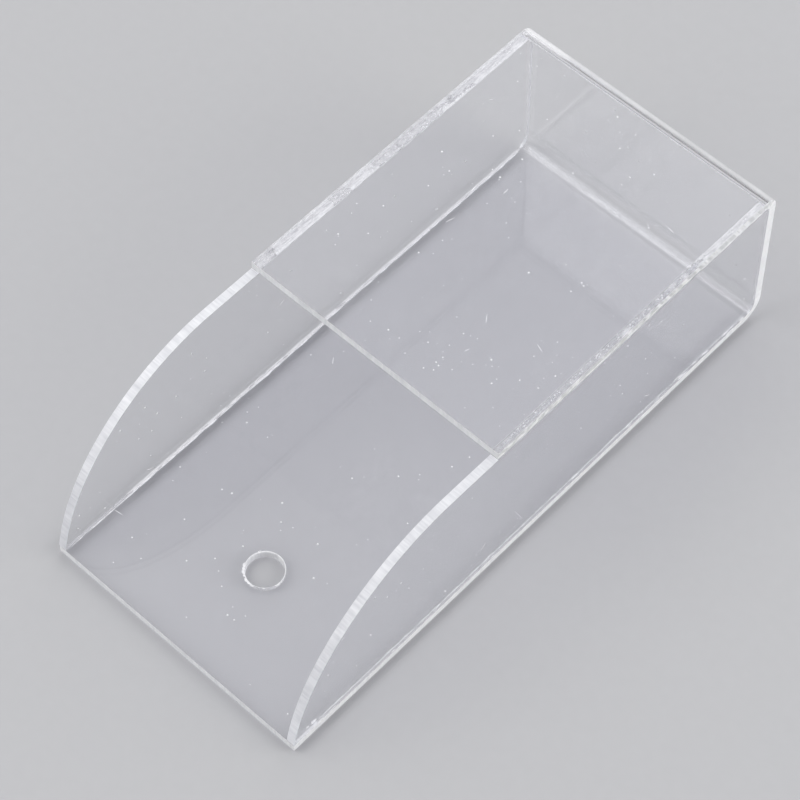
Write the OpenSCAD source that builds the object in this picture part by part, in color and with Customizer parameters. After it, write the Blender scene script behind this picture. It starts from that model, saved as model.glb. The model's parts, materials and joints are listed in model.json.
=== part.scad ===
// Clear acrylic open-fronted holder.
// One sheet is heated along two lines and folded into a long base, an upright end and a
// shorter cover. Two side plates with a curved front stand between base and cover, and are
// held by solvent cement along the base, the end and the cover.
// Frame: +Z up, +Y towards the closed end, origin in the middle of the base's underside.

/* [Sheet] */
// Thickness of the sheet and of the side plates
sheet_t = 3; // [2:0.5:5]
// Width across the outer faces of the side plates
width = 97; // [60:1:160]
// Height over base and cover
height = 60; // [30:1:64]
// Length of the cover, from its front edge to the back of the end
cover_len = 123; // [80:1:160]
// Length of base left open in front of the cover
open_len = 85; // [80:1:160]
// Inside radius of the fold between base and end
base_bend_in = 4.5; // [1:0.5:8]
// Inside radius of the fold between end and cover
cover_bend_in = 2.5; // [1:0.5:8]

/* [Hanging hole] */
// Diameter of the hole through the base
hole_d = 12; // [4:0.5:20]
// Distance from the base's front edge to the hole's centre
hole_back = 35.5; // [20:0.5:60]
// Sideways distance of the hole from the middle of the base
hole_side = 2; // [-5:0.5:5]

/* [Side plates] */
// Radius of the curved front, as a multiple of the plate's height
curve_ratio = 1.25; // [1:0.05:1.35]

/* [Cement seams] */
// Thickness of the cement between a side plate and the sheet
seam_t = 0.2; // [0.1:0.05:0.3]
// Length at the front of the right plate's base joint that has no cement
dry_len = 10; // [0:1:30]

/* [Hidden] */
$fn = 96;

ACRYLIC = [0.82, 0.85, 0.90, 0.35];
CEMENT = [0.93, 0.94, 0.96, 0.80];

length = open_len + cover_len;
front_y = -length / 2;
back_y = length / 2;
cover_front_y = back_y - cover_len;
// Each fold turns round the line at (fold_y, fold_z)
base_fold_y = back_y - base_bend_in - sheet_t;
base_fold_z = base_bend_in + sheet_t;
cover_fold_y = back_y - cover_bend_in - sheet_t;
cover_fold_z = height - cover_bend_in - sheet_t;
// How far the drill, and the cut round a plate's corner, run past what they cut
cut_over = 1;

plate_bottom = sheet_t + seam_t;
plate_top = height - sheet_t - seam_t;
plate_h = plate_top - plate_bottom;
plate_back_y = back_y - sheet_t - seam_t;
curve_r = curve_ratio * plate_h;
// The arc starts at the plate's front foot and ends level with its top edge
curve_run = sqrt(2 * curve_r * plate_h - plate_h * plate_h);
curve_y = front_y + curve_run;

// Turns an outline drawn as (y, z) into a slab from x = 0 to x = w
module slab(w) {
    rotate([90, 0, 90]) linear_extrude(height = w) children();
}

// One fold: a quarter ring round (y, z), below that line for side -1 and above it for side 1
module fold(y, z, radius_in, side) {
    radius_out = radius_in + sheet_t;
    translate([y, z])
        intersection() {
            difference() {
                circle(r = radius_out);
                circle(r = radius_in);
            }
            translate([0, side < 0 ? -radius_out : 0]) square(radius_out);
        }
}

module sheet_outline() {
    translate([front_y, 0]) square([base_fold_y - front_y, sheet_t]);
    translate([cover_front_y, height - sheet_t]) square([cover_fold_y - cover_front_y, sheet_t]);
    translate([back_y - sheet_t, base_fold_z]) square([sheet_t, cover_fold_z - base_fold_z]);
    fold(base_fold_y, base_fold_z, base_bend_in, -1);
    fold(cover_fold_y, cover_fold_z, cover_bend_in, 1);
}

module folded_sheet() {
    color(ACRYLIC)
        difference() {
            translate([-width / 2, 0, 0]) slab(width) sheet_outline();
            translate([hole_side, front_y + hole_back, -cut_over])
                cylinder(d = hole_d, h = sheet_t + 2 * cut_over);
        }
}

// What is cut away to round a plate's back corner, so that it sits in the fold
module corner_waste(y, z, radius, side) {
    translate([y, z])
        difference() {
            translate([0, side < 0 ? -radius - cut_over : 0]) square(radius + cut_over);
            circle(r = radius);
        }
}

// The plate with square front corners and rounded back corners
module plate_blank() {
    difference() {
        translate([front_y, plate_bottom]) square([plate_back_y - front_y, plate_h]);
        corner_waste(base_fold_y, base_fold_z, base_bend_in - seam_t, -1);
        corner_waste(cover_fold_y, cover_fold_z, cover_bend_in - seam_t, 1);
    }
}

module plate_outline() {
    intersection() {
        plate_blank();
        union() {
            translate([curve_y, plate_top - curve_r]) circle(r = curve_r);
            translate([curve_y, 0]) square([back_y - curve_y, height]);
        }
    }
}

// Puts a slab that is as thick as the sheet flush with one outer edge: -1 left, 1 right
module at_side(side) {
    translate([side < 0 ? -width / 2 : width / 2 - sheet_t, 0, 0]) slab(sheet_t) children();
}

module side_plate(side) {
    color(ACRYLIC) at_side(side) plate_outline();
}

module base_seam(side, start_y) {
    color(CEMENT) at_side(side)
        translate([start_y, sheet_t]) square([base_fold_y - start_y, seam_t]);
}

module end_seam(side) {
    color(CEMENT) at_side(side)
        translate([plate_back_y, base_fold_z]) square([seam_t, cover_fold_z - base_fold_z]);
}

module cover_seam(side) {
    color(CEMENT) at_side(side)
        translate([cover_front_y, plate_top]) square([cover_fold_y - cover_front_y, seam_t]);
}

folded_sheet();
side_plate(-1);  // left_side
side_plate(1);  // right_side
base_seam(-1, front_y);  // left_base_seam
base_seam(1, front_y + dry_len);  // right_base_seam
end_seam(-1);  // left_end_seam
end_seam(1);  // right_end_seam
cover_seam(-1);  // left_cover_seam
cover_seam(1);  // right_cover_seam
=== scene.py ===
import json
import math
import random

import bmesh
import bpy
from mathutils import Matrix, Vector, noise


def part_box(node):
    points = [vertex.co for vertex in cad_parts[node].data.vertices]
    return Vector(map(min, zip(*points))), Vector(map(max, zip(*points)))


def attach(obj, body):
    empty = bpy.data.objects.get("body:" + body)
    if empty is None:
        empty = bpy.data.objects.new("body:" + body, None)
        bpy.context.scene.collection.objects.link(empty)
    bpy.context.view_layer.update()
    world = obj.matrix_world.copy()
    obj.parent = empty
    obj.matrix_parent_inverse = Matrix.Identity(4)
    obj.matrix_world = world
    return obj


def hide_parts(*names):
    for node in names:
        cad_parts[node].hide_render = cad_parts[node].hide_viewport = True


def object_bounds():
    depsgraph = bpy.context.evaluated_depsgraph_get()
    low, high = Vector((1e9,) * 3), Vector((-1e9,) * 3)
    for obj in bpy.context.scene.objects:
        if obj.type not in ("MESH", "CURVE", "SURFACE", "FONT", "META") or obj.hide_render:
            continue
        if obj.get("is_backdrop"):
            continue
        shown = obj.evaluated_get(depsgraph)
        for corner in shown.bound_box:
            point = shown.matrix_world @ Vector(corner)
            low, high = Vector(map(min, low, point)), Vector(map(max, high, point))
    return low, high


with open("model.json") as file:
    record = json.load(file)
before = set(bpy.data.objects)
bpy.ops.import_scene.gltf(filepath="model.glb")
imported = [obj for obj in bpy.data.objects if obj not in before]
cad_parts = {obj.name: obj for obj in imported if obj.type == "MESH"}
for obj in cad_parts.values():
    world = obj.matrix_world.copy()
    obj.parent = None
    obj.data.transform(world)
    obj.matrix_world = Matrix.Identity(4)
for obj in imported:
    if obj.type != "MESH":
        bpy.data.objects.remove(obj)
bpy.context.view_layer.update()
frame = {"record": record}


# ---------------------------------------------------------------- folded sheet
# One clear acrylic sheet, sawn to a strip, drilled, then heated along two lines and folded into
# the long base, the upright end and the shorter cover. Its faces keep the maker's polish and its
# sawn edges are matt, with the saw's marks across them.

sheet_low, sheet_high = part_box("folded_sheet")
sheet_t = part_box("left_base_seam")[0].z
base_fold_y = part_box("left_base_seam")[1].y
cover_front_y, cover_fold_y = (corner.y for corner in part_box("left_cover_seam"))
front_y, back_y = sheet_low.y, sheet_high.y
left_x, right_x = sheet_low.x, sheet_high.x
width, height = right_x - left_x, sheet_high.z
base_fold_radius, cover_fold_radius = back_y - base_fold_y, back_y - cover_fold_y
hole = next(m for m in frame["record"]["mounts"] if m["name"] == "hang_hole")
hole_x, hole_y = hole["pos_m"][:2]
hole_radius = hole["dims"]["r_mm"] / 1000

ACRYLIC_IOR = 1.49
FOLD_STEPS = 14
# The heater softens a little of the flat on both sides of each fold
HEATED_STRIP = 0.0008
# The sawn edges stand this far in from the full width, which the swellings at the folds reach
SAWN_INSET = 0.0002
# The outside of a fold is stretched, and narrows by this share of what its inside swells
NARROWED = 0.35
# Every sawn corner is rounded by this much
SAWN_CORNER = 0.00007
HOLE_SIDES = 160
# The drill raises a lip of this height around the hole
HOLE_LIP = 0.0003
hole_reach = 1.25 * hole_radius
# Corners nearer than MERGED are one corner, and a point within ON_PLANE of a plane lies on it
MERGED = 1e-6
ON_PLANE = 1e-5


class Wire:
    """A shader socket that can stand in sums, so that a pattern reads as arithmetic."""

    def __init__(self, tree, socket):
        self.tree = tree
        self.socket = socket

    def put(self, kind, settings, values, out=0):
        """Adds any node: its settings first, then a number or a link for each socket."""
        node = self.tree.nodes.new(kind)
        for name, setting in settings.items():
            if name == "stops":
                ramp = node.color_ramp.elements
                for place, (at, grey) in enumerate(setting):
                    stop = ramp[place] if place < 2 else ramp.new(at)
                    stop.position = at
                    stop.color = (grey, grey, grey, 1)
            else:
                setattr(node, name, setting)
        for name, value in values.items():
            if isinstance(value, Wire):
                self.tree.links.new(value.socket, node.inputs[name])
            else:
                node.inputs[name].default_value = value
        return Wire(self.tree, node.outputs[out])

    def sums(self, operation, first, second=0.0):
        settings = {"operation": operation}
        return self.put("ShaderNodeMath", settings, {0: first, 1: second})

    def __add__(self, other):
        return self.sums("ADD", self, other)

    def __radd__(self, other):
        return self.sums("ADD", other, self)

    def __sub__(self, other):
        return self.sums("SUBTRACT", self, other)

    def __rsub__(self, other):
        return self.sums("SUBTRACT", other, self)

    def __mul__(self, other):
        return self.sums("MULTIPLY", self, other)

    def __rmul__(self, other):
        return self.sums("MULTIPLY", other, self)

    def noise(self, size, detail=2.0, roughness=0.5, squash=(1, 1, 1)):
        """Cloudy noise from 0 to 1 whose lumps are about size metres across."""
        spread = self.put(
            "ShaderNodeMapping", {}, {"Vector": self, "Scale": tuple(s / size for s in squash)}
        )
        values = {"Vector": spread, "Scale": 1.0, "Detail": detail, "Roughness": roughness}
        return self.put("ShaderNodeTexNoise", {}, values)

    def ramp(self, *stops):
        return self.put("ShaderNodeValToRGB", {"stops": stops}, {0: self})

    def tint(self, low, high):
        """A colour between two, by this value."""
        settings = {"data_type": "RGBA"}
        return self.put("ShaderNodeMix", settings, {0: self, 6: (*low, 1), 7: (*high, 1)}, out=2)

    def bump(self, strength, distance):
        return self.put(
            "ShaderNodeBump", {}, {"Height": self, "Strength": strength, "Distance": distance}
        )


def new_material(name):
    """An empty material, with its object coordinates, its own run coordinates and its output."""
    material = bpy.data.materials.new(name)
    material.use_nodes = True
    tree = material.node_tree
    tree.nodes.clear()
    place = tree.nodes.new("ShaderNodeTexCoord")
    output = tree.nodes.new("ShaderNodeOutputMaterial")
    return material, Wire(tree, place.outputs["Object"]), Wire(tree, place.outputs["UV"]), output


def let_light_past(start, shader, shade):
    """Lets lamps and the light off other surfaces cross clear plastic, dimmed to shade."""
    for kind in ("Is Diffuse Ray", "Is Shadow Ray"):
        ray = start.put("ShaderNodeLightPath", {}, {}, out=kind)
        open_way = start.put("ShaderNodeBsdfTransparent", {}, {"Color": (*shade, 1)})
        shader = start.put("ShaderNodeMixShader", {}, {0: ray, 1: shader, 2: open_way})
    return shader


def clear_plastic(start, colour):
    """The plastic itself, as clear as the maker rolls it."""
    return start.put(
        "ShaderNodeBsdfPrincipled",
        {},
        {"Base Color": colour, "Roughness": 0.0, "IOR": ACRYLIC_IOR, "Transmission Weight": 1.0},
    )


def matt_plastic(start, colour, roughness, normal, clearness):
    """Plastic that a blade has torn or heat has clouded, so that it scatters the light."""
    return start.put(
        "ShaderNodeBsdfPrincipled",
        {},
        {
            "Base Color": colour,
            "Roughness": roughness,
            "IOR": ACRYLIC_IOR,
            "Transmission Weight": clearness,
            "Normal": normal,
        },
    )


def blended(share, shader, other):
    """The other finish over the first, as much of it as share says."""
    return share.put("ShaderNodeMixShader", {}, {0: share, 1: shader, 2: other})


def clear_acrylic(name, bloom_and_highlight_stops):
    """Polished cast acrylic, wiped and fingered; where a fold stretched it, bloom and painted
    highlight.
    """
    material, place, run, output = new_material(name)
    wiped = place.noise(0.016, detail=4.0, squash=(1.0, 0.3, 1.0)).ramp((0.50, 0.0), (0.72, 1.0))
    fingered = place.noise(0.006, detail=3.0).ramp((0.42, 0.0), (0.70, 1.0))
    smear = wiped * fingered
    shader = clear_plastic(place, smear.tint((0.968, 0.969, 0.978), (0.93, 0.932, 0.945)))
    haze_and_highlight = 0.04 * smear
    if bloom_and_highlight_stops:
        turned = run.put("ShaderNodeSeparateXYZ", {}, {0: run}, out=1)
        stretched = 0.75 + 0.5 * place.noise(0.012, detail=2.0, squash=(1.0, 0.2, 0.2))
        # The fold's band is white clouded plastic: partly real heat bloom, partly a painted highlight
        haze_and_highlight = haze_and_highlight + turned.ramp(*bloom_and_highlight_stops) * stretched
    cloud = matt_plastic(
        place, smear.tint((0.96, 0.96, 0.97), (1.0, 1.0, 1.0)), 0.3, smear.bump(0.1, 0.00002), 0.0
    )
    shader = blended(haze_and_highlight, shader, cloud)
    shader = let_light_past(place, shader, (0.93, 0.93, 0.945))
    place.tree.links.new(shader.socket, output.inputs["Surface"])
    return material


def sawn_acrylic(name, low, high, clearness, wetted):
    """A sawn edge: matt and crossed by the saw's marks, clear again where it was wetted."""
    material, place, run, output = new_material(name)
    coarse = run.noise(0.0016, detail=2.0, squash=(1.0, 0.04, 1.0))
    fine = run.noise(0.0007, detail=1.0, squash=(1.0, 0.06, 1.0))
    cloudy = run.noise(0.006, detail=2.0)
    marks = 0.5 * coarse + 0.5 * fine
    pale = (0.7 * marks + 0.3 * cloudy).ramp((0.36, 0.0), (0.60, 1.0))
    shader = matt_plastic(
        place, pale.tint(low, high), 0.5 - 0.2 * pale, marks.bump(0.5, 0.00008), clearness
    )
    if wetted:
        run_over = run.noise(0.0022, detail=3.0, squash=(0.5, 1.4, 1.0))
        clear = clear_plastic(place, pale.tint((0.9, 0.9, 0.92), (0.97, 0.97, 0.98)))
        shader = blended(run_over.ramp((0.42, 0.0), (0.56, wetted)), shader, clear)
    shader = let_light_past(place, shader, (0.55, 0.55, 0.57))
    place.tree.links.new(shader.socket, output.inputs["Surface"])
    return material


polished = clear_acrylic("clear_acrylic", ())
# The whitish band on the outside of the cover's tighter fold, by how far the fold has turned from flat
# This band is partly the heat's real bloom and partly a painted highlight
heated_and_highlit = clear_acrylic("heated_acrylic_painted_highlight", ((0.12, 0.0), (0.28, 0.52), (0.68, 0.56), (0.98, 0.0)))
sawn = sawn_acrylic("sawn_acrylic", (0.80, 0.805, 0.82), (1.0, 1.0, 1.0), 0.10, 0.0)
smeared = sawn_acrylic("smeared_acrylic", (0.80, 0.805, 0.82), (1.0, 1.0, 1.0), 0.15, 0.3)


def choose(piece, kind, wanted):
    """In edit mode, selects the faces or edges whose middle and direction pass the test."""
    bpy.ops.object.mode_set(mode="EDIT")
    bpy.ops.mesh.select_mode(type=kind)
    bpy.ops.mesh.select_all(action="DESELECT")
    shape = bmesh.from_edit_mesh(piece.data)
    shape.normal_update()
    if kind == "FACE":
        for face in shape.faces:
            face.select_set(wanted(face.calc_center_median(), face.normal))
    else:
        for edge in shape.edges:
            start, end = (corner.co for corner in edge.verts)
            edge.select_set(wanted((start + end) / 2, (end - start).normalized()))
    bmesh.update_edit_mesh(piece.data)


def started(name):
    """Names the new primitive, and puts its place and size into its mesh."""
    piece = bpy.context.object
    piece.name = name
    piece.data.name = name
    bpy.ops.object.transform_apply(location=True, rotation=True, scale=True)
    return piece


def modified(piece, name, kind, **settings):
    """Adds one modifier and applies it."""
    modifier = piece.modifiers.new(name, kind)
    for setting, value in settings.items():
        setattr(modifier, setting, value)
    bpy.context.view_layer.objects.active = piece
    bpy.ops.object.modifier_apply(modifier=modifier.name)


def pull(x=0.0, y=0.0, z=0.0):
    """Extrudes what is selected by this much."""
    bpy.ops.mesh.extrude_region_move(TRANSFORM_OT_translate={"value": (x, y, z)})


def finished(piece, node, finishes, finish_of, run_of):
    """Rounds the sawn corners, smooths the folds, finishes each face, and stands for its node."""
    modified(piece, "corners", "BEVEL", width=SAWN_CORNER, segments=2, limit_method="ANGLE",
             angle_limit=math.radians(50))
    piece.data.materials.clear()
    for finish in finishes:
        piece.data.materials.append(finish)
    while piece.data.uv_layers:
        piece.data.uv_layers.remove(piece.data.uv_layers[0])
    run = piece.data.uv_layers.new(name="run")
    for face in piece.data.polygons:
        face.material_index = finish_of(face.center, face.normal)
        for corner in face.loop_indices:
            spot = piece.data.vertices[piece.data.loops[corner].vertex_index].co
            run.data[corner].uv = run_of(spot, face.normal)
    bpy.ops.object.select_all(action="DESELECT")
    piece.select_set(True)
    bpy.context.view_layer.objects.active = piece
    bpy.ops.object.shade_smooth_by_angle(angle=math.radians(20))
    modified(piece, "flat_faces", "WEIGHTED_NORMAL", keep_sharp=True)
    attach(piece, "root")
    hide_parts(node)


bpy.ops.object.select_all(action="DESELECT")
base_end_y = base_fold_y - HEATED_STRIP
bpy.ops.mesh.primitive_cube_add(
    size=1,
    location=((left_x + right_x) / 2, (front_y + base_end_y) / 2, sheet_t / 2),
    scale=(width - 2 * SAWN_INSET, base_end_y - front_y, sheet_t),
)
sheet = started("folded_sheet_piece")
choose(sheet, "FACE", lambda at, facing: facing.y > 0.9)
pull(y=HEATED_STRIP)
quarter = {"steps": FOLD_STEPS, "angle": -math.radians(90), "axis": (1, 0, 0)}
bpy.ops.mesh.spin(center=(0, base_fold_y, base_fold_radius), **quarter)
pull(z=HEATED_STRIP)
pull(z=height - base_fold_radius - cover_fold_radius - 2 * HEATED_STRIP)
pull(z=HEATED_STRIP)
bpy.ops.mesh.spin(center=(0, cover_fold_y, height - cover_fold_radius), **quarter)
pull(y=-HEATED_STRIP)
pull(y=cover_front_y - cover_fold_y + HEATED_STRIP)
bpy.ops.mesh.select_all(action="SELECT")
bpy.ops.mesh.remove_doubles(threshold=MERGED)
bpy.ops.mesh.normals_make_consistent(inside=False)
bpy.ops.object.mode_set(mode="OBJECT")

# Folding squeezes the inside of each fold, which swells out a little at both sawn edges
folds = (
    (base_fold_y, base_fold_radius, base_fold_radius, -1),
    (cover_fold_y, height - cover_fold_radius, cover_fold_radius, 1),
)
for corner in sheet.data.vertices:
    spot = corner.co
    for fold_y, fold_z, radius, upward in folds:
        away = Vector((0, spot.y - fold_y, (spot.z - fold_z) * upward))
        if away.y >= -MERGED and away.z >= -MERGED and away.length > MERGED:
            turn = math.sin(2 * math.atan2(away.y, away.z))
            inner = away.length < radius - sheet_t / 2
            corner.co.x += math.copysign(SAWN_INSET * turn * (1.0 if inner else -NARROWED), spot.x)

# The hole is drilled, and its rim chipped where the drill broke through
bpy.ops.mesh.primitive_cylinder_add(
    vertices=HOLE_SIDES, radius=hole_radius, depth=3 * sheet_t, location=(hole_x, hole_y, sheet_t / 2)
)
drill = started("drill")
bpy.ops.mesh.primitive_cone_add(
    vertices=HOLE_SIDES, radius1=hole_radius, radius2=hole_radius + 2 * HOLE_LIP, depth=2 * HOLE_LIP,
    location=(hole_x, hole_y, sheet_t),
)
lip = started("lip")
modified(lip, "cut", "BOOLEAN", operation="UNION", object=drill, solver="EXACT")
bpy.data.objects.remove(drill)
drill = lip
# Each chip's direction in degrees, its size, and how far above the base its ball is centred
CHIPS = (
    (208, 0.0010, 0.0005), (219, 0.0009, 0.0004), (229, 0.0011, 0.0006), (241, 0.0008, 0.0004),
    (256, 0.0012, 0.0007), (267, 0.0010, 0.0005), (278, 0.0011, 0.0006), (350, 0.0010, 0.0005),
    (2, 0.0009, 0.0005), (148, 0.0007, 0.0003), (312, 0.0007, 0.0004),
)
for angle, radius, lift in CHIPS:
    turn = math.radians(angle)
    bpy.ops.mesh.primitive_ico_sphere_add(
        subdivisions=3, radius=radius,
        location=(hole_x + hole_radius * math.cos(turn), hole_y + hole_radius * math.sin(turn),
                  sheet_t + lift),
    )
    chip = started("chip")
    modified(chip, "cut", "BOOLEAN", operation="UNION", object=drill, solver="EXACT")
    bpy.data.objects.remove(drill)
    drill = chip
modified(sheet, "drilled", "BOOLEAN", operation="DIFFERENCE", object=drill, solver="EXACT")
bpy.data.objects.remove(drill)


def on_hole(at):
    """Whether a point lies on the drilled hole or on its lip."""
    return math.hypot(at.x - hole_x, at.y - hole_y) < hole_reach


def fold_turn(at):
    """How far the outside of the cover's fold has turned at a point, 0 flat to 1 upright, or None."""
    away = Vector((at.y - cover_fold_y, at.z - height + cover_fold_radius))
    if min(away) > -ON_PLANE and away.length > cover_fold_radius - sheet_t / 2:
        return math.atan2(away.x, away.y) / math.radians(90)
    return None


def sheet_finish(at, facing):
    """0 for a polished face, 1 for a sawn edge or the hole, 2 on the cover's fold, 3 beside it."""
    if on_hole(at) and at.z < sheet_t + MERGED:
        return int(abs(facing.z) < 0.999)
    if abs(facing.x) > 0.5:
        return 3 if at.z > height - sheet_t - ON_PLANE else 1
    if facing.y < -0.5 and at.y < cover_front_y + SAWN_CORNER:
        return 1
    return 0 if fold_turn(at) is None else 2


def sheet_run(spot, facing):
    """How far along the strip a point lies, and how deep in its thickness, before folding."""
    if abs(facing.x) < 0.5 and on_hole(spot):
        return hole_radius * math.atan2(spot.y - hole_y, spot.x - hole_x), spot.z
    if abs(facing.x) < 0.5:
        turn = fold_turn(spot)
        return spot.x, spot.z if turn is None else turn
    if spot.y < base_fold_y:
        return spot.y, min(spot.z, height - spot.z)
    return back_y + spot.z, back_y - spot.y


finished(sheet, "folded_sheet", (polished, sawn, heated_and_highlit, smeared), sheet_finish, sheet_run)


# ---------------------------------------------------------------- side plates
# Two plates sawn from the same clear sheet, with a curved front. Each stands between base and
# cover, flush with the folded sheet's sawn edge, with its back corners rounded to sit in the folds.

plate_low, plate_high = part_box("left_side")
plate_h = plate_high.z - plate_low.z
# The front curve's radius, as a share of the plate's height
CURVE_SHARE = 1.25
curve_radius = CURVE_SHARE * plate_h
curve_y = front_y + math.sqrt(2 * curve_radius * plate_h - plate_h ** 2)
curve_z = plate_high.z - curve_radius
CURVE_SIDES = 400
CORNER_STEPS = 8

bpy.ops.object.select_all(action="DESELECT")
bpy.ops.mesh.primitive_cylinder_add(
    vertices=CURVE_SIDES, radius=curve_radius, depth=sheet_t,
    location=((plate_low.x + plate_high.x) / 2, curve_y, curve_z), rotation=(0, math.pi / 2, 0),
)
left_plate = started("left_side_plate")
bpy.ops.object.mode_set(mode="EDIT")
for cut, facing in (((0, 0, plate_low.z), (0, 0, -1)), ((0, curve_y, 0), (0, 1, 0))):
    bpy.ops.mesh.select_all(action="SELECT")
    bpy.ops.mesh.bisect(plane_co=cut, plane_no=facing, use_fill=True, clear_outer=True)
choose(left_plate, "FACE", lambda at, facing: facing.y > 0.9 and at.y > curve_y - ON_PLANE)
pull(y=plate_high.y - curve_y)
for corner_z, fold_y in ((plate_low.z, base_fold_y), (plate_high.z, cover_fold_y)):
    choose(
        left_plate, "EDGE",
        lambda at, along: (
            abs(along.x) > 0.9
            and at.y > plate_high.y - ON_PLANE
            and abs(at.z - corner_z) < ON_PLANE
        ),
    )
    bpy.ops.mesh.bevel(offset=plate_high.y - fold_y, segments=CORNER_STEPS, affect="EDGES")
right_seam_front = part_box("right_base_seam")[0].y
for seam_end in (cover_front_y, right_seam_front):
    bpy.ops.mesh.select_all(action="SELECT")
    bpy.ops.mesh.bisect(plane_co=(0, seam_end, 0), plane_no=(0, 1, 0))
bpy.ops.mesh.select_all(action="SELECT")
bpy.ops.mesh.remove_doubles(threshold=MERGED)
bpy.ops.mesh.normals_make_consistent(inside=False)
bpy.ops.object.mode_set(mode="OBJECT")

right_plate = left_plate.copy()
right_plate.data = left_plate.data.copy()
right_plate.name = "right_side_plate"
right_plate.data.name = "right_side_plate"
bpy.context.collection.objects.link(right_plate)
right_plate.data.transform(Matrix.Translation((width - sheet_t, 0, 0)))


def glued_acrylic():
    """A sawn edge that cement has wetted: clear again, with a little grain left in it."""
    material, place, run, output = new_material("glued_acrylic")
    grain = run.noise(0.0006, detail=2.0, squash=(0.4, 1.0, 1.0))
    shader = place.put(
        "ShaderNodeBsdfPrincipled",
        {},
        {
            "Base Color": grain.tint((0.82, 0.82, 0.85), (1.0, 1.0, 1.0)),
            "Roughness": 0.4,
            "IOR": ACRYLIC_IOR,
            "Alpha": grain.ramp((0.35, 0.02), (0.75, 0.16)),
        },
    )
    place.tree.links.new(shader.socket, output.inputs["Surface"])
    return material


def plate_finish(at, facing):
    """0 for a polished face, 1 for an open sawn edge, 2 where it is glued to the sheet."""
    if abs(facing.x) > 0.5:
        return 0
    if facing.z < -0.9:
        return 2 if at.x < 0 or at.y > right_seam_front else 1
    if facing.z > 0.9 and at.z > plate_high.z - ON_PLANE:
        return 2 if at.y > cover_front_y else 1
    return 2 if facing.y > 0.9 else 1


def plate_run(spot, facing):
    """How far round the plate's outline a point lies, and how deep in its thickness."""
    if spot.y < curve_y and spot.z > plate_low.z + ON_PLANE:
        return curve_radius * math.atan2(spot.z - curve_z, curve_y - spot.y), spot.x
    return spot.y + spot.z, spot.x


glued = glued_acrylic()
# The plates' open edges are the sheet's sawn acrylic painted darker and greyer as shade, so they do not
# wash out
shaded_sawn = sawn_acrylic("sawn_acrylic_painted_shade", (0.66, 0.665, 0.70), (0.88, 0.885, 0.91), 0.25, 0.0)
for plate, node in ((left_plate, "left_side"), (right_plate, "right_side")):
    finished(plate, node, (polished, shaded_sawn, glued), plate_finish, plate_run)


# ---------------------------------------------------------------- cement seams
# Solvent cement run into the joints by hand. A thin film lies between each plate edge and the
# sheet, frosted where it missed and full of small bubbles, and a ragged bead is squeezed out
# along the inside corner.

# The film stops short of the glued faces by a hair, and of its open edges by a little more
FILM_CLEARANCE = 0.00003
FILM_INSET = 0.00005
# How far the film's inside edge wanders
RAGGED = 0.0009
# The bubbles of its foam are about this far apart
FOAM_CELL = 0.0008
# The bead stands this far off the faces that it lies on
HAIR = 0.00002
UP, BACKWARD, RIGHTWARD = Vector((0, 0, 1)), Vector((0, 1, 0)), Vector((1, 0, 0))


def film_cement(name, length, dry_stops, frosting, wet, foamy):
    """Set cement: clear where it wetted both faces, frosted and foamy where it is dry."""
    material, place, run, output = new_material(name)
    along = run.put("ShaderNodeSeparateXYZ", {}, {0: run})
    across = run.put("ShaderNodeSeparateXYZ", {}, {0: run}, out=1)
    dry = (along * (1 / length)).ramp(*dry_stops)
    drift = run.noise(0.006, detail=3.0, squash=(1.0, 2.0, 1.0))
    frost = (dry + 1.4 * (drift - 0.5)).ramp((0.46, 0.0), (0.58, 1.0))
    streaks = run.noise(0.0016, detail=3.0, squash=(0.5, 2.6, 1.0))
    cells = run.put("ShaderNodeTexVoronoi", {}, {"Vector": run, "Scale": 1 / FOAM_CELL})
    froth = cells.ramp((0.20, 1.0), (0.34, 0.0))
    inside = (across + RAGGED * (run.noise(0.0025, detail=4.0) - 0.5)) * (1 / sheet_t)
    inner_lip = inside.ramp((0.0, 1.0), (0.11, 0.85), (0.16, 0.0))
    foam = foamy * run.noise(0.009, detail=2.0).ramp((0.44, 0.0), (0.52, 1.0))
    foam = foam * inside.ramp((0.28, 1.0), (0.52, 0.12))
    milk = wet * (0.7 + 0.6 * streaks) + frosting * frost * (0.62 + 0.4 * streaks)
    shown = milk + foam * froth * 0.75 + 0.5 * inner_lip * drift
    # Painted shade: wetted parts keep a faint grey veil, from this colour's dark end and the alpha's
    # floor
    shade = streaks * 0.5 + froth * 0.4 + frost * 0.25 + wet * 0.3
    shader = place.put(
        "ShaderNodeBsdfPrincipled",
        {},
        {
            "Base Color": shade.ramp((0.15, 0.0), (0.6, 1.0)).tint((0.42, 0.42, 0.44), (1.0, 1.0, 1.0)),
            "Roughness": 0.35,
            "IOR": ACRYLIC_IOR,
            "Alpha": shown.ramp((0.06, 0.24), (0.95, 0.92)),
        },
    )
    place.tree.links.new(shader.socket, output.inputs["Surface"])
    return material


def bead_cement():
    """The squeezed-out bead: glossy, uneven and milky with air; bubbles take it as a painted glint."""
    material, place, _, output = new_material("bead_cement")
    milk = place.noise(0.0012, detail=3.0).ramp((0.35, 0.0), (0.65, 1.0))
    shader = place.put(
        "ShaderNodeBsdfPrincipled",
        {},
        {
            "Base Color": milk.tint((0.90, 0.91, 0.93), (1.0, 1.0, 1.0)),
            "Roughness": 0.10 + 0.2 * milk,
            "IOR": ACRYLIC_IOR,
            "Transmission Weight": 0.25,
            "Normal": milk.bump(0.4, 0.0001),
        },
    )
    shader = let_light_past(place, shader, (0.8, 0.8, 0.82))
    place.tree.links.new(shader.socket, output.inputs["Surface"])
    return material


bead_and_bubble_glints = bead_cement()

bpy.ops.object.select_all(action="DESELECT")
# Each bubble is a lump of the white bead cement, so its brightness is a painted glint
bpy.ops.mesh.primitive_uv_sphere_add(segments=8, ring_count=5, radius=1, calc_uvs=False)
bubble_shape = started("bubble")
bubble_shape.data.materials.append(bead_and_bubble_glints)
bpy.ops.object.shade_smooth()


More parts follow.
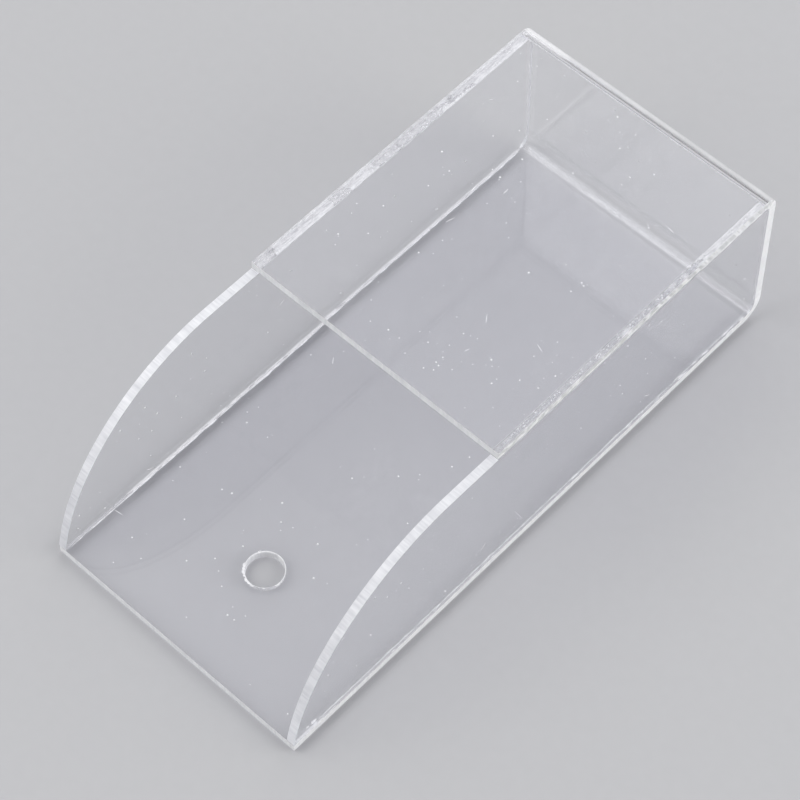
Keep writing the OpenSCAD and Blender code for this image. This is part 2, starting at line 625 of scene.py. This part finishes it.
def copied(original, matrix):
    """One more of a small repeated shape, with its own mesh."""
    copy = original.copy()
    copy.data = original.data.copy()
    bpy.context.collection.objects.link(copy)
    copy.data.transform(matrix)
    return copy


def joined(piece, extras):
    """Makes the extras part of the piece that they lie on."""
    bpy.ops.object.select_all(action="DESELECT")
    for extra in extras:
        extra.select_set(True)
    piece.select_set(True)
    bpy.context.view_layer.objects.active = piece
    bpy.ops.object.join()


def joint_space(node):
    """A joint's lowest and highest corner, its middle and size, and its thin and long axes."""
    low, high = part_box(node)
    spread = high - low
    thin = min(range(3), key=lambda axis: spread[axis])
    long = max(range(3), key=lambda axis: spread[axis])
    return low, high, (low + high) / 2, spread, thin, long


def film(node, name, inward, dry_stops, frosting, wet, foamy):
    """The film between two glued faces, drawn in a hair from both of them."""
    low, high, middle, spread, thin, long = joint_space(node)
    bpy.ops.object.select_all(action="DESELECT")
    bpy.ops.mesh.primitive_cube_add(size=1, location=middle, scale=spread, calc_uvs=False)
    piece = started(name)
    for corner in piece.data.vertices:
        for axis in range(3):
            inset = FILM_CLEARANCE if axis == thin else FILM_INSET
            corner.co[axis] += inset if corner.co[axis] < middle[axis] else -inset
    run = piece.data.uv_layers.new(name="run")
    for loop in piece.data.loops:
        spot = piece.data.vertices[loop.vertex_index].co
        across = high.x - spot.x if inward.x > 0 else spot.x - low.x
        run.data[loop.index].uv = (spot[long] - low[long], across)
    piece.data.materials.append(film_cement(name, spread[long], dry_stops, frosting, wet, foamy))
    return piece


# Bubbles gather in drifts about this long
BUBBLE_DRIFT = 0.012
# A bubble's least half width, and how much wider the largest is
BUBBLE_SIZE, BUBBLE_SPREAD = 0.00008, 0.00018
# The least depth of a bubble's middle from the joint's inside, and how much deeper some lie
BUBBLE_DEPTH, DEPTH_SPREAD = 0.0003, 0.0022


def bubbles(node, inward, count, share, seed):
    """Flattened air bubbles, white as painted glints, in one share of the joint, thickest along its
    inside.
    """
    low, high, middle, spread, thin, long = joint_space(node)
    chance = random.Random(seed)
    made = []
    while len(made) < count:
        at = chance.uniform(*share)
        crowd = noise.noise(Vector((at * spread[long] / BUBBLE_DRIFT, seed, 0)))
        if crowd < chance.uniform(-0.5, 0.35):
            continue
        place = middle.copy()
        place[long] = low[long] + spread[long] * (0.01 + 0.98 * at)
        depth = BUBBLE_DEPTH + DEPTH_SPREAD * chance.random() ** 4
        place.x = high.x - depth if inward.x > 0 else low.x + depth
        size = BUBBLE_SIZE + BUBBLE_SPREAD * chance.random() ** 1.5
        scale = [size, size, size]
        scale[thin] = spread[thin] / 2 - 1.5 * FILM_CLEARANCE
        scale[long] *= chance.uniform(1.0, 2.2)
        made.append(copied(bubble_shape, Matrix.Translation(place) @ Matrix.Diagonal((*scale, 1))))
    return made


BEAD_STEP = 0.0004
# The bead swells and thins over about this length
BEAD_LUMP = 0.0035
# The bead's section, as shares of its size along the sheet and up the plate, in ring order
BEAD_SECTION = ((1.0, 0.0), (0.60, 0.24), (0.24, 0.60), (0.0, 1.0), (0.0, 0.5), (0.0, 0.0))
BEAD_SIDES = len(BEAD_SECTION)


def bead(path_start, path_end, sheet_way, plate_way, size, seed):
    """A ragged fillet along a corner: sheet_way and plate_way lead away from it."""
    length = (path_end - path_start).length
    steps = int(length / BEAD_STEP)
    bpy.ops.object.select_all(action="DESELECT")
    bpy.ops.mesh.primitive_cylinder_add(
        vertices=BEAD_SIDES, radius=1, depth=1, location=(0, 0, 0.5), calc_uvs=False
    )
    piece = started("bead")
    choose(piece, "EDGE", lambda at, along: abs(along.z) > 0.9)
    bpy.ops.mesh.subdivide(number_cuts=steps - 1)
    bpy.ops.object.mode_set(mode="OBJECT")
    for corner in piece.data.vertices:
        at = corner.co.z
        turn = math.atan2(corner.co.y, corner.co.x)
        side = round(turn / math.radians(360 / BEAD_SIDES)) % BEAD_SIDES
        spot = Vector((at * length / BEAD_LUMP, seed, 0))
        lump = 0.6 + 0.6 * noise.noise(spot) + 0.5 * noise.noise(spot * 4.1)
        blob = max(0.0, noise.noise(spot * 0.6 + Vector((0, 7, 0))) - 0.25) * 2.2
        taper = min(1.0, 40 * at + 0.1, 40 * (1 - at) + 0.1)
        reach = size * max(0.15, lump + blob) * taper
        sheet_share, plate_share = BEAD_SECTION[side]
        corner.co = (
            path_start.lerp(path_end, at)
            + sheet_way * reach * sheet_share
            + plate_way * reach * plate_share
        )
    bpy.ops.object.mode_set(mode="EDIT")
    bpy.ops.mesh.select_all(action="SELECT")
    bpy.ops.mesh.normals_make_consistent(inside=False)
    bpy.ops.object.mode_set(mode="OBJECT")
    piece.data.materials.append(bead_and_bubble_glints)
    bpy.ops.object.shade_smooth()
    return piece


# How far the bead reaches out from the corner, by joint
BEAD_SIZE = {"base": 0.00062, "end": 0.00036, "cover": 0.00028}
# For each joint: where it is dry, as shares of its length from the front or from the base; how
# thick its frost is there; how milky it stays where wetted; how foamy it is; its bubbles, and the
# share of its length they fill
SEAMS = {
    "left_base_seam": (
        ((0.0, 0.15), (0.11, 0.20), (0.15, 0.72), (0.5, 0.64), (0.75, 0.75), (1.0, 0.65)),
        0.58, 0.10, 1.0, 150, (0.0, 1.0),
    ),
    "right_base_seam": (
        ((0.0, 0.6), (0.05, 0.35), (0.5, 0.3), (1.0, 0.5)),
        0.6, 0.22, 0.6, 130, (0.0, 1.0),
    ),
    "left_cover_seam": (
        ((0.0, 0.05), (0.05, 0.10), (0.08, 0.85), (0.26, 0.85), (0.29, 0.05), (0.32, 0.05),
         (0.34, 0.80), (0.41, 0.75), (0.44, 0.25), (0.62, 0.25), (0.70, 0.60), (1.0, 0.85)),
        1.0, 0.05, 0.8, 90, (0.40, 0.85),
    ),
    "right_cover_seam": (
        ((0.0, 0.10), (0.62, 0.10), (0.74, 0.50), (0.80, 0.85), (1.0, 0.95)),
        1.0, 0.03, 0.5, 75, (0.02, 0.85),
    ),
    "left_end_seam": (((0.0, 0.60), (1.0, 0.75)), 1.0, 0.70, 0.3, 20, (0.0, 1.0)),
    "right_end_seam": (((0.0, 0.90), (1.0, 1.0)), 1.0, 0.85, 0.3, 20, (0.0, 1.0)),
}
# Drops squeezed out where the right base joint goes dry: place from the film's end, and half sizes
DROPS = (
    ((-0.0004, -0.0006, 0.0003), (0.0005, 0.0012, 0.0003)),
    ((-0.0005, -0.0030, 0.0002), (0.0003, 0.0006, 0.0002)),
)
for side, inward, seed in (("left", RIGHTWARD, 3), ("right", -RIGHTWARD, 8)):
    plate_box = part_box(side + "_side")
    inner_x = (plate_box[1].x if side == "left" else plate_box[0].x) + HAIR * inward.x
    for joint in ("base", "end", "cover"):
        node = side + "_" + joint + "_seam"
        start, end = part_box(node)
        if joint == "end":
            corner, away, run_way = Vector((inner_x, end.y - HAIR, start.z)), -BACKWARD, UP
            reach = end.z - start.z
        else:
            z, away = (start.z + HAIR, UP) if joint == "base" else (end.z - HAIR, -UP)
            corner, run_way = Vector((inner_x, start.y, z)), BACKWARD
            reach = end.y - start.y
        fillet = bead(corner, corner + run_way * reach, inward, away, BEAD_SIZE[joint], seed + 0.3)
        dry_stops, frosting, wet, foamy, count, share = SEAMS[node]
        piece = film(node, side + "_" + joint + "_cement", inward, dry_stops, frosting, wet, foamy)
        extras = [fillet] + bubbles(node, inward, count, share, seed)
        if node == "right_base_seam":
            for spot, spread in DROPS:
                extras.append(copied(bubble_shape, Matrix.Translation(corner + Vector(spot))
                                     @ Matrix.Diagonal((*spread, 1))))
        joined(piece, extras)
        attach(piece, "root")
        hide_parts(node)
        seed += 1
bpy.data.objects.remove(bubble_shape)


# ---------------------------------------------------------------- dust and scratches
# Specks of dust that static holds on the inside faces, and a few short scratches from handling.
# Each is joined to the sheet or the plate that it lies on.

SPECK_FLATNESS = 0.35
# A speck's smallest half width, and how much wider the largest is
SPECK_SIZE, SPECK_SPREAD = 0.00014, 0.00022
# A scratch's half width, and its shortest and longest half length
SCRATCH_SIZE = 0.00012
SCRATCH_LENGTHS = (0.0009, 0.0022)
# None lies nearer to an edge than this
MARGIN = 0.0015


def dust():
    """Pale dust, and the torn plastic of a scratch."""
    material, place, _, output = new_material("dust")
    shade = place.noise(0.0008, detail=2.0)
    shader = place.put(
        "ShaderNodeBsdfPrincipled",
        {},
        {"Base Color": shade.tint((0.82, 0.82, 0.84), (1.0, 1.0, 1.0)), "Roughness": 0.45},
    )
    place.tree.links.new(shader.socket, output.inputs["Surface"])
    return material


bpy.ops.object.select_all(action="DESELECT")
bpy.ops.mesh.primitive_uv_sphere_add(segments=6, ring_count=4, radius=1, calc_uvs=False)
speck_shape = started("speck")
speck_shape.data.materials.append(dust())
bpy.ops.object.shade_smooth()

base_low = Vector((left_x + sheet_t, front_y, sheet_t))
cover_high = Vector((right_x - sheet_t, cover_fold_y, height - sheet_t))
# Host, the axis that its face looks along, where that face is, its lowest and highest corner, and
# how many specks and scratches lie on it
DUSTY = (
    (sheet, 2, sheet_t, base_low, Vector((right_x - sheet_t, base_fold_y, sheet_t)), 125, 6),
    (sheet, 2, height - sheet_t, Vector((left_x + sheet_t, cover_front_y, 0)), cover_high, 110, 4),
    (sheet, 1, back_y - sheet_t, Vector((left_x + sheet_t, 0, base_fold_radius)),
     Vector((right_x - sheet_t, 0, height - cover_fold_radius)), 24, 1),
    (left_plate, 0, left_x + sheet_t, plate_low, plate_high, 55, 3),
    (right_plate, 0, right_x - sheet_t, plate_low, plate_high, 55, 4),
)


def on_plate(spot):
    """Whether a point lies behind the plate's curved front."""
    behind = spot.y > curve_y
    return behind or math.hypot(spot.y - curve_y, spot.z - curve_z) < curve_radius - MARGIN


def over_hole(spot):
    """Whether a speck at this point would have nothing to lie on."""
    return math.hypot(spot.x - hole_x, spot.y - hole_y) < hole_radius + MARGIN


chance = random.Random(21)
wear = {}
for host, facing, level, low, high, speck_count, scratch_count in DUSTY:
    made = wear.setdefault(host.name, (host, []))[1]
    wanted = len(made) + speck_count + scratch_count
    while len(made) < wanted:
        spot = Vector([chance.uniform(low[axis] + MARGIN, high[axis] - MARGIN) for axis in range(3)])
        spot[facing] = level
        on_base = facing == 2 and level < height / 2
        if facing == 0 and not on_plate(spot) or on_base and over_hole(spot):
            continue
        size = SPECK_SIZE + SPECK_SPREAD * chance.random() ** 2
        scale = Vector((size, size, size))
        turn = Matrix.Rotation(chance.uniform(0, math.pi), 4, "XYZ"[facing])
        if wanted - len(made) <= scratch_count:
            scale = Vector((SCRATCH_SIZE, SCRATCH_SIZE, SCRATCH_SIZE))
            scale[(facing + 1) % 3] = chance.uniform(*SCRATCH_LENGTHS)
        scale[facing] *= SPECK_FLATNESS
        made.append(copied(speck_shape, Matrix.Translation(spot) @ turn @ Matrix.Diagonal((*scale, 1))))
for host, made in wear.values():
    joined(host, made)
bpy.data.objects.remove(speck_shape)


# ---------------------------------------------------------------- floor, light and camera
# A plain pale floor a hair below the base, four broad soft lamps and a dim one, and a long lens
# that looks down on the open front from its right.

FLOOR_SIZE = 6.0
FLOOR_GAP = 0.0003

bpy.ops.object.select_all(action="DESELECT")
bpy.ops.mesh.primitive_plane_add(size=FLOOR_SIZE, location=(0, 0, -FLOOR_GAP))
floor = started("floor")
floor_material, floor_place, _, floor_output = new_material("pale_floor")
floor_grain = floor_place.noise(0.004, detail=3.0)
floor_shader = floor_place.put(
    "ShaderNodeBsdfPrincipled",
    {},
    {"Base Color": floor_grain.tint((0.46, 0.46, 0.47), (0.48, 0.48, 0.49)), "Roughness": 0.85},
)
floor_material.node_tree.links.new(floor_shader.socket, floor_output.inputs["Surface"])
floor.data.materials.append(floor_material)
floor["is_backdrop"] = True


def soft_lamp(name, power, size, place, aim, mirrored=True):
    """A softbox: its cloth glows evenly in the middle and fades towards the frame."""
    data = bpy.data.lights.new(name, "AREA")
    data.shape = "RECTANGLE"
    data.size, data.size_y = size
    data.energy = power
    data.use_nodes = True
    tree = data.node_tree
    spot = Wire(tree, tree.nodes.new("ShaderNodeNewGeometry").outputs["Parametric"])
    along = spot.put("ShaderNodeSeparateXYZ", {}, {0: spot})
    across = spot.put("ShaderNodeSeparateXYZ", {}, {0: spot}, out=1)
    glow = 1.0
    for share in (along, across):
        glow = (4.0 * share * (1 - share)).ramp((0.0, 0.0), (0.75, 1.0)) * glow
    tree.links.new(glow.socket, tree.nodes["Emission"].inputs["Strength"])
    lamp = bpy.data.objects.new(name, data)
    bpy.context.collection.objects.link(lamp)
    lamp.location = place
    lamp.rotation_euler = (Vector(aim) - Vector(place)).to_track_quat("-Z", "Y").to_euler()
    lamp.visible_glossy = mirrored
    lamp.visible_transmission = mirrored


middle = (0, 0, height / 2)
# The side lamp lights the sawn edges, and is kept out of the mirror of the clear faces
soft_lamp("overhead_softbox", 15, (1.2, 1.05), (-0.75, -0.55, 1.30), middle)
soft_lamp("side_softbox", 31, (1.4, 1.3), (1.25, 0.70, 0.75), middle, mirrored=False)
soft_lamp("front_softbox", 11.5, (1.7, 1.0), (-0.42, -1.30, 0.85), middle)
soft_lamp("back_softbox", 6, (1.6, 0.9), (-0.53, 1.03, 0.66), middle)
soft_lamp("dim_reflector", 4.0, (1.5, 1.2), (-0.62, 0.78, 1.48), middle)
world = bpy.data.worlds.new("room")
bpy.context.scene.world = world
world.use_nodes = True
walls = world.node_tree.nodes["Background"]
walls.inputs["Color"].default_value = (0.80, 0.81, 0.84, 1)
walls.inputs["Strength"].default_value = 0.45

LENS = 133.3
DISTANCE = 0.8716
AIM = Vector((0.0027, -0.0107, height / 2))
azimuth, elevation, roll = (math.radians(a) for a in (43.70, 57.28, -0.77))
back = Vector((
    math.sin(azimuth) * math.cos(elevation),
    -math.cos(azimuth) * math.cos(elevation),
    math.sin(elevation),
))
level = Vector((math.cos(azimuth), math.sin(azimuth), 0))
upright = back.cross(level)
right = math.cos(roll) * level + math.sin(roll) * upright
up = math.cos(roll) * upright - math.sin(roll) * level
camera_data = bpy.data.cameras.new("camera")
camera_data.lens = LENS
camera = bpy.data.objects.new("camera", camera_data)
bpy.context.collection.objects.link(camera)
turned = Matrix((right, up, back)).transposed().to_4x4()
camera.matrix_world = Matrix.Translation(AIM + DISTANCE * back) @ turned
bpy.context.scene.camera = camera

scene = bpy.context.scene
scene.view_settings.view_transform = "Standard"
scene.cycles.max_bounces = 32
scene.cycles.transmission_bounces = 32
scene.cycles.glossy_bounces = 12
scene.cycles.transparent_max_bounces = 64

low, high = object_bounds()
